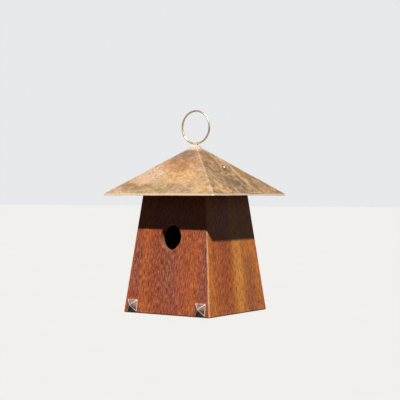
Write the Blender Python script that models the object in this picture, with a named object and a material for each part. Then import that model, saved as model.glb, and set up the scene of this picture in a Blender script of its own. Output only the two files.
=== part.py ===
"""Hanging birdhouse: a tapered mahogany nest box under a folded copper roof.

Frame: +Z up, the entrance faces -Y, +X is on the right as seen from the front.
The origin is on the ground under the middle of the house. All values are in metres.
"""

import math

import bmesh
import bpy
from mathutils import Matrix, Vector

GAP = 0.0003  # clearance between two pieces that touch on the real object

# Nest box: four walls that lean inwards as they rise.
BASE_HALF = 0.080  # half the outer width at the bottom edge
BATTER = 0.1165  # inward lean of each wall per unit of height
WALL = 0.012  # thickness of the wall boards
ARRIS = 0.0018  # bevel taken off each face at the exposed corners

# Floor board, hinged at the back so that it drops for cleaning.
FLOOR_THICKNESS = 0.0127
FLOOR_RECESS = 0.009  # from the walls' bottom edge up to the floor's underside
FLOOR_PLAY = 0.0008  # clearance all round the floor, for the swing and for swelling
DRAIN_RADIUS = 0.003
DRAIN_INSET = 0.022  # from the floor's edges to each drain hole
PIVOT_NAIL_RADIUS = 0.00125
PIVOT_NAIL_HEAD = 0.0021
PIVOT_NAIL_HEAD_DEPTH = 0.0012
PIVOT_NAIL_LENGTH = 0.028

# Turn button under the floor, and the slot in the front wall that it locks into.
BUTTON_INSET = 0.011  # from the floor's front edge to the button's screw
BUTTON_REACH = 0.0185  # from the screw to the end that locks
BUTTON_TAIL = 0.009  # from the screw to the other end
BUTTON_WIDTH = 0.009
BUTTON_THICKNESS = 0.0016
SLOT_PLAY = 0.0006  # above and below the button, and past its end
BUTTON_SCREW_RADIUS = 0.0013
BUTTON_SCREW_LENGTH = 0.0095
BUTTON_SCREW_HEAD = 0.0027
BUTTON_SCREW_HEAD_HEIGHT = 0.0015

# Entrance and the grip grooves below it, on the inside.
ENTRANCE_RADIUS = 0.01905
ENTRANCE_HEIGHT = 0.1165
GROOVE_COUNT = 5
GROOVE_PITCH = 0.011
GROOVE_LENGTH = 0.060
GROOVE_WIDTH = 0.002
GROOVE_DEPTH = 0.0015

# Copper roof, folded from one sheet.
ROOF_HALF = 0.102  # half the span between opposite eaves
ROOF_RISE = 0.0768  # from the eave fold up to where the four slopes would meet
EAVE_HEIGHT = 0.1822  # height of the eave fold
LIP_DROP = 0.0024  # turned-down drip edge below the fold
SHEET = 0.0008
TIP_HALF = 0.0049  # half the square opening left at the tip
LAP_NEAR = -0.05  # the lap on the right slope lies between two lines from the tip, each
LAP_FAR = 0.245  # given as distance towards the back per distance from the axis
LAP_INSET = 0.0006  # from the lap's ends to the tip opening and to the eave

# Roof screws, one through each side slope into the top edge of the wall below.
SCREW_OUTSET = 0.0015  # outwards of the wall's middle, because the screw leans inwards
SCREW_SETBACK = 0.005  # towards the back
SCREW_SHANK = 0.0014
SCREW_LENGTH = 0.008
SCREW_HEAD_RADIUS = 0.0035
SCREW_HEAD_HEIGHT = 0.0023
SCREW_SLOT = 0.0008
SCREW_SLOT_DEPTH = 0.0010

# Hanging ring, and the strap, plate and solder that hold it in the roof's tip.
RING_WIRE = 0.0014  # radius of the wire
RING_RADIUS = 0.0255  # from the ring's centre to the middle of the wire
RING_LIFT = 0.0006  # the wire's middle, above the point where the slopes would meet
RING_PLAY = 0.0005  # between the wire and the strap's eye
STRAP = 0.0008
STRAP_WIDTH = 0.0064
STRAP_FLAP = 0.0065  # how far each end is bent out under the plate
PLATE_HALF = 0.011  # half the width of the plate's top face
PLATE_THICKNESS = 0.0015
SOLDER_BELOW = 0.0012  # how far the solder reaches down inside the tip
SOLDER_TAPER = 0.0007

# Pyramid-headed nails at the front wall's lower corners.
CLAVO_HALF = 0.009
CLAVO_HEIGHT = 0.008
CLAVO_RIM = 0.0010
CLAVO_SHANK = 0.00125
CLAVO_LENGTH = 0.0105
CLAVO_INSET = 0.0157  # from the front wall's edge to the nail
CLAVO_RISE = 0.0115  # height of the nail

# Brads that hold the walls together.
BRAD_SHANK = 0.00065
BRAD_HEAD = 0.0010
BRAD_HEAD_DEPTH = 0.0012
BRAD_LENGTH = 0.028
BRAD_HEIGHTS = (0.040, 0.105, 0.170)

# Smoothness of the round pieces.
ENTRANCE_SIDES = 48
RING_STEPS = 64
WIRE_SIDES = 14
HEAD_STEPS = 20
SMALL_STEPS = 12
EYE_STEPS = 18
ROUND_STEPS = 10
SMOOTH_ANGLE = math.radians(35)

# Derived.
SLOPE = ROOF_RISE / ROOF_HALF
APEX = EAVE_HEIGHT + ROOF_RISE
LEAN = math.hypot(1, BATTER)  # horizontal width of a wall per unit of its thickness
PITCH = math.hypot(1, SLOPE)  # vertical depth of the sheet per unit of its thickness
FLOOR_TOP = FLOOR_RECESS + FLOOR_THICKNESS
FLOOR_MIDDLE = FLOOR_RECESS + FLOOR_THICKNESS / 2
RING_AXIS = Vector((0, 0, APEX + RING_LIFT))
EYE_INNER = RING_WIRE + RING_PLAY
EYE_OUTER = EYE_INNER + STRAP
LEG = GAP / 2  # half the space between the strap's two legs
PLATE_TOP = APEX - (SHEET + GAP) * PITCH - SLOPE * PLATE_HALF
CORNER = math.sqrt(2)  # a square's corner per half its width
BLOCK = 0.6  # edge of the block that each board is cut from
LEAD = 0.002  # how far a cutter starts outside the piece it cuts

UP = Vector((0, 0, 1))
SIDES = {
    "front": Vector((0, -1, 0)),
    "back": Vector((0, 1, 0)),
    "left": Vector((-1, 0, 0)),
    "right": Vector((1, 0, 0)),
}


def outer_half(height):
    """Half the outer width of the nest box at a height."""
    return BASE_HALF - BATTER * height


def inner_half(height):
    """Half the inner width of the nest box at a height."""
    return outer_half(height) - WALL * LEAN


FLOOR_HALF = inner_half(FLOOR_TOP) - FLOOR_PLAY
HINGE_Y = inner_half(FLOOR_MIDDLE) - (FLOOR_THICKNESS / 2 + FLOOR_PLAY) * LEAN
WALL_TOP_MIDDLE = (inner_half(APEX) + outer_half(APEX)) / 2 / (1 - BATTER * SLOPE)
SCREW_REACH = WALL_TOP_MIDDLE + SCREW_OUTSET
BUTTON_TOP = FLOOR_RECESS - GAP
BUTTON_BOTTOM = BUTTON_TOP - BUTTON_THICKNESS
BUTTON_Y = BUTTON_INSET - FLOOR_HALF


# Materials and objects.


def clear_scene():
    """Removes whatever the scene holds."""
    for obj in list(bpy.data.objects):
        bpy.data.objects.remove(obj)


def material(name, colour, roughness, metallic):
    """A plain Principled material."""
    made = bpy.data.materials.new(name)
    made.use_nodes = True
    shader = made.node_tree.nodes["Principled BSDF"]
    shader.inputs["Base Color"].default_value = (*colour, 1)
    shader.inputs["Roughness"].default_value = roughness
    shader.inputs["Metallic"].default_value = metallic
    made.diffuse_color = (*colour, 1)
    return made


def add_object(name, bm, surface, place=Matrix(), smooth=False):
    """Turns a bmesh into a named object at a place."""
    bmesh.ops.recalc_face_normals(bm, faces=bm.faces)
    mesh = bpy.data.meshes.new(name)
    bm.to_mesh(mesh)
    bm.free()
    mesh.materials.append(surface)
    if smooth:
        mesh.shade_smooth()
        mesh.set_sharp_from_angle(angle=SMOOTH_ANGLE)
    obj = bpy.data.objects.new(name, mesh)
    obj.matrix_world = place
    bpy.context.scene.collection.objects.link(obj)
    return obj


def combine(obj, bm, name, operation="DIFFERENCE", place=Matrix()):
    """Cuts a bmesh from an object, or joins it on, with a Boolean."""
    tool = add_object(name, bm, obj.data.materials[0], place)
    tool.hide_render = True
    tool.display_type = "WIRE"
    boolean = obj.modifiers.new(name, "BOOLEAN")
    boolean.operation = operation
    boolean.object = tool


def facing(place, direction):
    """A frame at a place, with +Z along a direction and +Y as near up as it can be."""
    return Matrix.Translation(place) @ direction.to_track_quat("Z", "Y").to_matrix().to_4x4()


# The planes that shape the house. Each is a point on it and its outward normal.


def wall_plane(side, depth=0.0):
    """A wall's outer face, or the plane at a depth inside it."""
    normal = (SIDES[side] + UP * BATTER).normalized()
    return SIDES[side] * BASE_HALF - normal * depth, normal


def roof_plane(side, depth=0.0):
    """A slope's outer face, or the plane at a depth below it."""
    normal = (SIDES[side] * SLOPE + UP).normalized()
    return UP * APEX - normal * depth, normal


def mitre_plane(side, neighbour):
    """The upright plane where a wall meets its neighbour."""
    normal = (SIDES[neighbour] - SIDES[side]).normalized()
    return -normal * GAP / 2, normal


def bevel_plane(corner, first, second):
    """The plane that takes a bevel off the edge where two planes meet at a corner."""
    normal = (first[1] + second[1]).normalized()
    return corner - normal * ARRIS / math.sqrt(2), normal


def turned_round(plane):
    """The same plane facing the other way."""
    return plane[0], -plane[1]


def along_side(side):
    """The level direction along a side, anticlockwise as seen from above."""
    return UP.cross(SIDES[side])


def wall_point(side, along, height):
    """A point on a wall's outer face, along from its middle."""
    return SIDES[side] * outer_half(height) + along_side(side) * along + UP * height


def slope_point(side, along, reach, lift=0.0):
    """A point over a slope, at a horizontal reach from the axis, lifted off the sheet."""
    foot = SIDES[side] * reach + along_side(side) * along + UP * (APEX - SLOPE * reach)
    return foot + roof_plane(side)[1] * lift


# Shapes.


def cut_block(planes):
    """What is left of a block after a cut along each plane."""
    bm = bmesh.new()
    bmesh.ops.create_cube(bm, size=BLOCK)
    for point, normal in planes:
        whole = bm.verts[:] + bm.edges[:] + bm.faces[:]
        cut = bmesh.ops.bisect_plane(
            bm, geom=whole, plane_co=point, plane_no=normal, clear_outer=True
        )
        rim = [e for e in cut["geom_cut"] if isinstance(e, bmesh.types.BMEdge)]
        bmesh.ops.holes_fill(bm, edges=rim)
    return bm


def turned(profile, steps):
    """A solid turned about Z, from (radius, height) points that start and end on it."""
    bm = bmesh.new()
    points = [bm.verts.new((radius, 0, height)) for radius, height in profile]
    edges = [bm.edges.new(pair) for pair in zip(points, points[1:])]
    bmesh.ops.spin(
        bm,
        geom=points + edges,
        cent=(0, 0, 0),
        axis=UP,
        angle=math.tau,
        steps=steps,
        use_merge=True,
    )
    bmesh.ops.remove_doubles(bm, verts=bm.verts, dist=1e-6)
    return bm


def squared(profile):
    """A four-sided solid about Z, from (half width, height) points."""
    bm = turned([(half * CORNER, height) for half, height in profile], 4)
    bmesh.ops.rotate(bm, verts=bm.verts, matrix=Matrix.Rotation(math.pi / 4, 3, "Z"))
    return bm


def arc(centre, radius, start, end, steps):
    """Points along an arc, between two angles in radians."""
    turn = (end - start) / steps
    angles = [start + turn * i for i in range(steps + 1)]
    return [(centre[0] + radius * math.cos(a), centre[1] + radius * math.sin(a)) for a in angles]


def extruded(outline, depth):
    """A solid of an (x, y) outline, half its depth to each side of the XY plane."""
    bm = bmesh.new()
    face = bm.faces.new([bm.verts.new((x, y, -depth / 2)) for x, y in outline])
    grown = bmesh.ops.extrude_face_region(bm, geom=[face])
    moved = [v for v in grown["geom"] if isinstance(v, bmesh.types.BMVert)]
    bmesh.ops.translate(bm, verts=moved, vec=UP * depth)
    return bm


def box(size, place=Matrix()):
    """A box about a place."""
    bm = bmesh.new()
    bmesh.ops.create_cube(bm, size=1, matrix=place @ Matrix.Diagonal((*size, 1)))
    return bm


def drill(steps, sides=SMALL_STEPS):
    """A cutter that starts outside the surface and steps down through (radius, depth)."""
    profile = [(0, LEAD)]
    top = LEAD
    for radius, depth in steps:
        profile += [(radius, top), (radius, -depth)]
        top = -depth
    return turned(profile + [(0, top)], sides)


def put_in(bm, part, place):
    """Moves a shape to a place and adds it to a bmesh."""
    mesh = bpy.data.meshes.new("part")
    bmesh.ops.recalc_face_normals(part, faces=part.faces)
    part.to_mesh(mesh)
    part.free()
    mesh.transform(place)
    bm.from_mesh(mesh)
    bpy.data.meshes.remove(mesh)


# Where the fasteners go.


def brad_places():
    """Each brad's name, the frame on the wall at its head, and the wall it reaches."""
    places = []
    for face in ("front", "back"):
        for side in ("left", "right"):
            turn = along_side(face).dot(SIDES[side])
            for number, height in enumerate(BRAD_HEIGHTS, 1):
                across = turn * (outer_half(height) - WALL * LEAN / 2)
                head = facing(wall_point(face, across, height), wall_plane(face)[1])
                places.append((f"{face}_brad_{side}_{number}", head, (face, side)))
    return places


def clavo_places():
    """The frame on the front wall under each pyramid head."""
    across = outer_half(CLAVO_RISE) - CLAVO_INSET
    outward = wall_plane("front")[1]
    return {
        "left": facing(wall_point("front", -across, CLAVO_RISE), outward),
        "right": facing(wall_point("front", across, CLAVO_RISE), outward),
    }


def roof_screw_places():
    """The frame on the roof under each screw's head."""
    return {
        "left": facing(
            slope_point("left", -SCREW_SETBACK, SCREW_REACH, GAP), roof_plane("left")[1]
        ),
        "right": facing(
            slope_point("right", SCREW_SETBACK, SCREW_REACH, SHEET + GAP), roof_plane("right")[1]
        ),
    }


def pivot_nail_places():
    """The frame on each side wall at the head of the floor's pivot nail."""
    height = FLOOR_MIDDLE
    depth = PIVOT_NAIL_HEAD * BATTER  # lets the square-on head sink below the leaning wall
    heads = {}
    for side in ("left", "right"):
        out = SIDES[side]
        place = out * (outer_half(height) - depth) + Vector((0, HINGE_Y, height))
        heads[side] = facing(place, out)
    return heads


def fastener_holes(board):
    """A cutter with every brad, clavo, screw and nail hole that enters a board."""
    bm = bmesh.new()
    head = (BRAD_HEAD + GAP, BRAD_HEAD_DEPTH + GAP)
    shank = (BRAD_SHANK + GAP, BRAD_LENGTH + GAP)
    for _, place, boards in brad_places():
        if board == boards[0]:
            put_in(bm, drill([head, shank]), place)
        elif board == boards[1]:
            put_in(bm, drill([shank]), place)
    if board == "front":
        for place in clavo_places().values():
            put_in(bm, drill([(CLAVO_SHANK + GAP, CLAVO_LENGTH + GAP)]), place)
    if board in ("left", "right"):
        hole = (SCREW_SHANK + GAP, SCREW_LENGTH + GAP)
        put_in(bm, drill([hole]), roof_screw_places()[board])
        sink = (PIVOT_NAIL_HEAD + GAP, PIVOT_NAIL_HEAD_DEPTH + GAP)
        pivot = (PIVOT_NAIL_RADIUS + GAP, PIVOT_NAIL_LENGTH)
        put_in(bm, drill([sink, pivot]), pivot_nail_places()[board])
    return bm


# The pieces.


def build_walls(wood):
    """The four wall boards, mitred at the corners."""
    ground = (Vector(), -UP)
    tops = [roof_plane(side, SHEET + GAP) for side in SIDES]
    walls = {}
    for face in SIDES:
        outer = wall_plane(face)
        foot = SIDES[face] * BASE_HALF
        planes = [outer, turned_round(wall_plane(face, WALL)), ground]
        planes += [bevel_plane(foot, outer, ground)]
        for neighbour in ("left", "right") if face in ("front", "back") else ("front", "back"):
            corner = foot + SIDES[neighbour] * BASE_HALF
            planes += [mitre_plane(face, neighbour)]
            planes += [bevel_plane(corner, outer, wall_plane(neighbour))]
        walls[face] = add_object(f"{face}_panel", cut_block(planes + tops), wood)
    for face, wall in walls.items():
        combine(wall, fastener_holes(face), f"{face}_fastener_holes")
    return walls


def finish_front(front):
    """The entrance, the grip grooves and the turn button's slot in the front wall."""
    outward = wall_plane("front")[1]
    entrance = facing(wall_point("front", 0, ENTRANCE_HEIGHT), outward)
    bore = drill([(ENTRANCE_RADIUS, WALL + LEAD)], ENTRANCE_SIDES)
    combine(front, bore, "entrance_bore", place=entrance)

    grooves = bmesh.new()
    size = (GROOVE_LENGTH, GROOVE_WIDTH, 2 * GROOVE_DEPTH)
    for number in range(1, GROOVE_COUNT + 1):
        height = ENTRANCE_HEIGHT - ENTRANCE_RADIUS - GROOVE_PITCH * number
        place = facing(wall_point("front", 0, height) - outward * WALL, outward)
        put_in(grooves, box(size), place)
    combine(front, grooves, "grip_grooves")

    middle = (BUTTON_TOP + BUTTON_BOTTOM) / 2
    wall_distance = inner_half(middle) + BUTTON_Y
    reach = BUTTON_REACH + SLOT_PLAY
    half = math.sqrt(reach**2 - wall_distance**2) + SLOT_PLAY
    size = (2 * half, reach, BUTTON_THICKNESS + 2 * SLOT_PLAY)
    place = Matrix.Translation((0, BUTTON_Y - reach / 2, middle))
    combine(front, box(size, place), "button_slot")


def build_floor(wood):
    """The floor board: its back edge is rounded about the pivot nails."""
    quarter = math.pi / 2
    back = arc((HINGE_Y, FLOOR_MIDDLE), FLOOR_THICKNESS / 2, -quarter, quarter, ROUND_STEPS)
    outline = [(-FLOOR_HALF, FLOOR_TOP), (-FLOOR_HALF, FLOOR_RECESS)] + back
    lay = Matrix(((0, 0, 1, 0), (1, 0, 0, 0), (0, 1, 0, 0), (0, 0, 0, 1)))
    bm = extruded([(y, z - FLOOR_MIDDLE) for y, z in outline], 2 * FLOOR_HALF)
    bmesh.ops.transform(bm, matrix=lay, verts=bm.verts)
    bmesh.ops.translate(bm, verts=bm.verts, vec=(0, -HINGE_Y, 0))
    floor = add_object("floor_panel", bm, wood, Matrix.Translation((0, HINGE_Y, FLOOR_MIDDLE)))

    holes = bmesh.new()
    reach = FLOOR_HALF - DRAIN_INSET
    for x in (-reach, reach):
        for y in (-reach, reach):
            drain = drill([(DRAIN_RADIUS, FLOOR_THICKNESS + LEAD)])
            put_in(holes, drain, Matrix.Translation((x, y, FLOOR_TOP)))
    for place in pivot_nail_places().values():
        put_in(holes, drill([(PIVOT_NAIL_RADIUS + GAP, PIVOT_NAIL_LENGTH + GAP)]), place)
    screw = drill([(BUTTON_SCREW_RADIUS + GAP, BUTTON_SCREW_LENGTH)])
    put_in(holes, screw, facing(Vector((0, BUTTON_Y, FLOOR_RECESS)), -UP))
    combine(floor, holes, "floor_holes")


def build_pivot_nails(steel):
    """The two nails that the floor swings on."""
    profile = [
        (0, -PIVOT_NAIL_LENGTH),
        (PIVOT_NAIL_RADIUS, -PIVOT_NAIL_LENGTH + 2 * PIVOT_NAIL_RADIUS),
        (PIVOT_NAIL_RADIUS, -PIVOT_NAIL_HEAD_DEPTH),
        (PIVOT_NAIL_HEAD, -PIVOT_NAIL_HEAD_DEPTH),
        (PIVOT_NAIL_HEAD, -GAP),
        (0, -GAP),
    ]
    for side, place in pivot_nail_places().items():
        nail = turned(profile, HEAD_STEPS)
        add_object(f"pivot_nail_{side}", nail, steel, place, smooth=True)


def build_button(brass):
    """The turn button, turned aside, and the screw it turns on."""
    half = BUTTON_WIDTH / 2
    quarter = math.pi / 2
    tail = arc((BUTTON_TAIL - half, 0), half, -quarter, quarter, ROUND_STEPS)
    tip = arc((half - BUTTON_REACH, 0), half, quarter, 3 * quarter, ROUND_STEPS)
    middle = Vector((0, BUTTON_Y, (BUTTON_TOP + BUTTON_BOTTOM) / 2))
    place = Matrix.Translation(middle)
    button = add_object("turn_button", extruded(tail + tip, BUTTON_THICKNESS), brass, place)
    hole = drill([(BUTTON_SCREW_RADIUS + GAP, BUTTON_THICKNESS)])
    combine(button, hole, "button_hole", place=place)

    seat = BUTTON_BOTTOM - GAP
    top = -(FLOOR_RECESS - seat + BUTTON_SCREW_LENGTH - GAP)
    dome = arc((0, 0), 1, 0, quarter, 5)
    profile = [(0, top), (BUTTON_SCREW_RADIUS, top + 2 * BUTTON_SCREW_RADIUS)]
    profile += [(BUTTON_SCREW_RADIUS, 0)]
    profile += [(BUTTON_SCREW_HEAD * x, BUTTON_SCREW_HEAD_HEIGHT * y) for x, y in dome[:-1]]
    profile += [(0, BUTTON_SCREW_HEAD_HEIGHT)]
    place = facing(Vector((0, BUTTON_Y, seat)), -UP)
    screw = add_object("button_screw", turned(profile, HEAD_STEPS), brass, place, smooth=True)
    size = (3 * BUTTON_SCREW_HEAD, SCREW_SLOT, BUTTON_SCREW_HEAD_HEIGHT)
    slot = box(size, Matrix.Translation((0, 0, BUTTON_SCREW_HEAD_HEIGHT)))
    combine(screw, slot, "button_screw_slot", place=place)


def build_roof(copper):
    """The folded sheet: four slopes, a drip edge and a lap on the right slope."""
    depth = SHEET * PITCH
    inner = ROOF_HALF - SHEET
    section = [
        (TIP_HALF, APEX - SLOPE * TIP_HALF),
        (ROOF_HALF, EAVE_HEIGHT),
        (ROOF_HALF, EAVE_HEIGHT - LIP_DROP),
        (inner, EAVE_HEIGHT - LIP_DROP),
        (inner, APEX - SLOPE * inner - depth),
        (TIP_HALF, APEX - SLOPE * TIP_HALF - depth),
    ]
    roof = add_object("copper_roof", squared(section + section[:1]), copper)

    lap = bmesh.new()
    near = TIP_HALF + LAP_INSET
    far = ROOF_HALF - LAP_INSET
    corners = [(near, LAP_NEAR), (far, LAP_NEAR), (far, LAP_FAR), (near, LAP_FAR)]
    points = [slope_point("right", lean * reach, reach, -SHEET / 2) for reach, lean in corners]
    face = lap.faces.new([lap.verts.new(point) for point in points])
    grown = bmesh.ops.extrude_face_region(lap, geom=[face])
    moved = [v for v in grown["geom"] if isinstance(v, bmesh.types.BMVert)]
    bmesh.ops.translate(lap, verts=moved, vec=roof_plane("right")[1] * (1.5 * SHEET))
    combine(roof, lap, "roof_lap", "UNION")

    holes = bmesh.new()
    for place in roof_screw_places().values():
        put_in(holes, drill([(SCREW_SHANK + GAP, 4 * SHEET)]), place)
    combine(roof, holes, "roof_screw_holes")


def build_roof_screws(brass):
    """Round-headed screws with a slot."""
    dome = arc((0, 0), 1, 0, math.pi / 2, 6)
    profile = [(0, -SCREW_LENGTH), (SCREW_SHANK, -SCREW_LENGTH + 2 * SCREW_SHANK)]
    profile += [(SCREW_SHANK, 0)]
    profile += [(SCREW_HEAD_RADIUS * x, SCREW_HEAD_HEIGHT * y) for x, y in dome[:-1]]
    profile += [(0, SCREW_HEAD_HEIGHT)]
    size = (3 * SCREW_HEAD_RADIUS, SCREW_SLOT, 2 * SCREW_SLOT_DEPTH)
    for side, place in roof_screw_places().items():
        solid = turned(profile, HEAD_STEPS)
        screw = add_object(f"roof_screw_{side}", solid, brass, place, smooth=True)
        slot = box(size, Matrix.Translation((0, 0, SCREW_HEAD_HEIGHT)))
        combine(screw, slot, f"roof_screw_slot_{side}", place=place)


def build_ring(brass):
    """The hanging ring, with its origin on the axis it swings about."""
    bm = bmesh.new()
    upright = Matrix.Rotation(math.pi / 2, 4, "X")
    section = Matrix.Translation((RING_RADIUS, 0, 0)) @ upright
    bmesh.ops.create_circle(bm, segments=WIRE_SIDES, radius=RING_WIRE, matrix=section)
    bmesh.ops.spin(
        bm,
        geom=bm.verts[:] + bm.edges[:],
        cent=(0, 0, 0),
        axis=UP,
        angle=math.tau,
        steps=RING_STEPS,
        use_merge=True,
    )
    bmesh.ops.remove_doubles(bm, verts=bm.verts, dist=1e-6)
    bmesh.ops.transform(bm, matrix=Matrix.Translation((0, 0, RING_RADIUS)) @ upright, verts=bm.verts)
    add_object("hanging_ring", bm, brass, Matrix.Translation(RING_AXIS), smooth=True)


def build_hanger(brass, solder):
    """The strap round the ring, the plate it pulls on, and the solder that seals the tip."""
    bend = PLATE_TOP - PLATE_THICKNESS - GAP - RING_AXIS.z
    down = math.pi / 2
    outer = down - math.asin((LEG + STRAP) / EYE_OUTER)
    inner = down - math.asin(LEG / EYE_INNER)
    flap = [(STRAP_FLAP, bend - STRAP), (STRAP_FLAP, bend), (LEG + STRAP, bend)]
    outline = flap + arc((0, 0), EYE_OUTER, -outer, math.pi + outer, EYE_STEPS)
    outline += [(-y, z) for y, z in reversed(flap)]
    outline += [(-LEG, bend - STRAP)]
    outline += arc((0, 0), EYE_INNER, math.pi + inner, -inner, EYE_STEPS)
    outline += [(LEG, bend - STRAP)]
    strap = extruded(outline, STRAP_WIDTH)
    stand = Matrix(((0, 0, 1, 0), (1, 0, 0, 0), (0, 1, 0, 0), (0, 0, 0, 1)))
    add_object("ring_strap", strap, brass, Matrix.Translation(RING_AXIS) @ stand)

    slot = (STRAP_WIDTH + 2 * GAP, 2 * (LEG + STRAP + GAP), 2 * TIP_HALF + PLATE_HALF)
    place = Matrix.Translation((0, 0, PLATE_TOP))
    base = PLATE_HALF + PLATE_THICKNESS / SLOPE
    bottom = PLATE_TOP - PLATE_THICKNESS
    plate = squared([(0, bottom), (base, bottom), (PLATE_HALF, PLATE_TOP), (0, PLATE_TOP)])
    combine(add_object("backing_plate", plate, brass), box(slot, place), "plate_slot")

    half = TIP_HALF - GAP
    shoulder = APEX - SLOPE * TIP_HALF
    bottom = shoulder - SOLDER_BELOW
    top = RING_AXIS.z - EYE_OUTER - GAP
    section = [(0, bottom), (half, bottom), (half, shoulder), (half - SOLDER_TAPER, top), (0, top)]
    seal = add_object("apex_solder", squared(section), solder)
    combine(seal, box(slot, place), "solder_slot")


def build_clavos(bronze):
    """Pyramid-headed nails."""
    head = [
        (0, GAP),
        (CLAVO_HALF, GAP),
        (CLAVO_HALF, GAP + CLAVO_RIM),
        (0, GAP + CLAVO_HEIGHT),
    ]
    shank = [
        (0, -CLAVO_LENGTH),
        (CLAVO_SHANK, -CLAVO_LENGTH + 3 * CLAVO_SHANK),
        (CLAVO_SHANK, GAP + CLAVO_RIM),
        (0, GAP + CLAVO_RIM),
    ]
    for side, place in clavo_places().items():
        nail = add_object(f"clavo_{side}", squared(head), bronze, place)
        combine(nail, turned(shank, SMALL_STEPS), f"clavo_shank_{side}", "UNION", place)


def build_brads(steel):
    """Thin headed brads, set flush with the boards."""
    profile = [
        (0, -BRAD_LENGTH),
        (BRAD_SHANK, -BRAD_LENGTH + 4 * BRAD_SHANK),
        (BRAD_SHANK, -BRAD_HEAD_DEPTH),
        (BRAD_HEAD, -BRAD_HEAD_DEPTH),
        (BRAD_HEAD, 0),
        (0, 0),
    ]
    for name, place, _ in brad_places():
        add_object(name, turned(profile, SMALL_STEPS), steel, place)


def main():
    clear_scene()
    wood = material("mahogany", (0.33, 0.105, 0.05), 0.42, 0)
    copper = material("weathered_copper", (0.62, 0.38, 0.22), 0.38, 1)
    brass = material("brass", (0.75, 0.66, 0.42), 0.28, 1)
    solder = material("solder", (0.75, 0.73, 0.68), 0.35, 1)
    bronze = material("aged_bronze", (0.20, 0.13, 0.10), 0.45, 1)
    steel = material("nail_steel", (0.45, 0.43, 0.41), 0.4, 1)
    walls = build_walls(wood)
    finish_front(walls["front"])
    build_floor(wood)
    build_pivot_nails(steel)
    build_button(brass)
    build_roof(copper)
    build_roof_screws(brass)
    build_ring(brass)
    build_hanger(brass, solder)
    build_clavos(bronze)
    build_brads(steel)


main()
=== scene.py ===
# %% [markdown]
# # A hanging birdhouse under a folded copper roof
#
# The birdhouse is a nest box of mahogany boards under a low roof folded from one copper sheet, and
# a ring at the roof's tip hangs it up. Its solid model is packed already, with joints for the
# floor, the ring and the turn button. The cells below load that model as a fixed frame, rebuild
# each piece that shows, with eased edges and fine shape, and give each one the surface that it has
# after some seasons outdoors.

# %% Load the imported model
import math

import bmesh
import bpy
from mathutils import Matrix, Vector


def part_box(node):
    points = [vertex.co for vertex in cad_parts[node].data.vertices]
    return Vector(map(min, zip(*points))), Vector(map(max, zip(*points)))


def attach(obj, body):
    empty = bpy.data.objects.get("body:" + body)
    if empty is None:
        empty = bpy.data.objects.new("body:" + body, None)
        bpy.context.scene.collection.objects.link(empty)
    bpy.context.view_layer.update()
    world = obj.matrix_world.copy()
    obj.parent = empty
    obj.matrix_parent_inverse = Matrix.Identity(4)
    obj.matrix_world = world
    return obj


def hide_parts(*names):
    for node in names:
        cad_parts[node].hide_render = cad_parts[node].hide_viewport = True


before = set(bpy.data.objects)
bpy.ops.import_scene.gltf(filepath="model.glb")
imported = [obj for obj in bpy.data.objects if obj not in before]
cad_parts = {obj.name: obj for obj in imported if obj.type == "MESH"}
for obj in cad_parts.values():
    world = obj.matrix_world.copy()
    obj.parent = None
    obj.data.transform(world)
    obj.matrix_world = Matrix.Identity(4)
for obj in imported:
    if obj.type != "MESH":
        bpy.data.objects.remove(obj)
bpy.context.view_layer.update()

# %% [markdown]
# ## Measures
#
# A new piece has to lie where its solid lies, or the joints would turn it about the wrong line.
# Sizes could be typed again, but the solids' own boxes give most of them. What a box can't give,
# such as the lean of a wall, is a named value. All are in metres, with +Z up, the entrance towards
# -Y and the middle of the house over the origin.

# %% Measures of the nest box
BASE_HALF = 0.080  # half the outer width at the bottom edge
BATTER = 0.1165  # how far a wall leans in for each unit of height
WALL = 0.012  # thickness of the boards
ARRIS = 0.0018  # bevel taken off each face at a corner
JOINT = 0.00004  # half the hairline where two boards meet
LEAN = math.hypot(1, BATTER)

UP = Vector((0, 0, 1))
SIDES = {
    "front": Vector((0, -1, 0)),
    "back": Vector((0, 1, 0)),
    "left": Vector((-1, 0, 0)),
    "right": Vector((1, 0, 0)),
}


def outer_half(height):
    """Half the outer width of the nest box at a height."""
    return BASE_HALF - BATTER * height


print(f"outer width {2 * outer_half(0):.3f} at the bottom, {2 * outer_half(0.18):.3f} at the eaves")

# %% Measures of the roof and the ring
LIP_DROP = 0.0024  # turned-down drip edge
SHEET = 0.0008
ROOF_RISE = 0.0768  # from the eaves up to where the slopes would meet
TIP_HALF = 0.0049  # half the square opening at the tip

roof_low, roof_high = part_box("copper_roof")
ring_low, ring_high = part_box("hanging_ring")
roof_half = roof_high.x
eave = roof_low.z + LIP_DROP
apex = eave + ROOF_RISE
slope = ROOF_RISE / roof_half
wire = (ring_high.y - ring_low.y) / 2
ring_radius = (ring_high.x - ring_low.x) / 2 - wire
ring_foot = Vector((0, 0, ring_low.z + wire))
print(f"roof {2 * roof_half:.3f} wide, ring {2 * (ring_radius + wire):.4f} across")

# %% [markdown]
# ## Camera, floor and light
#
# The view looks level at the eaves from 35 degrees to the right of the front, so that the right
# wall shows too. A long lens keeps the upright edges nearly parallel, and a small shift of the
# lens frames the house without tilting the camera. The house hangs over a plain pale floor, low
# enough for its own floor to swing open. One key light comes steeply from the front, so that the
# eaves throw their broad shadow over the top of the walls. It could be a spot, but a sun with a
# slightly widened disc gives the same soft edge everywhere. A weak, broad sun lights the back
# walls, and two faint soft boxes at the side and below reach into the shade. The studio floor
# glows a little, so that the house's shadow on it stays light. The backdrop shows pale, as a lit
# studio wall does, but lights the house only dimly.

# %% Objects and settings
def set_up(thing, settings):
    """Gives a thing its settings."""
    for name, value in settings.items():
        setattr(thing, name, value)
    return thing


def linked(name, data):
    """An object in the scene."""
    made = bpy.data.objects.new(name, data)
    bpy.context.scene.collection.objects.link(made)
    return made


def as_object(bm, name):
    """An object in the scene that holds a shape."""
    mesh = bpy.data.meshes.new(name)
    bm.to_mesh(mesh)
    bm.free()
    return linked(name, mesh)


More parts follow.
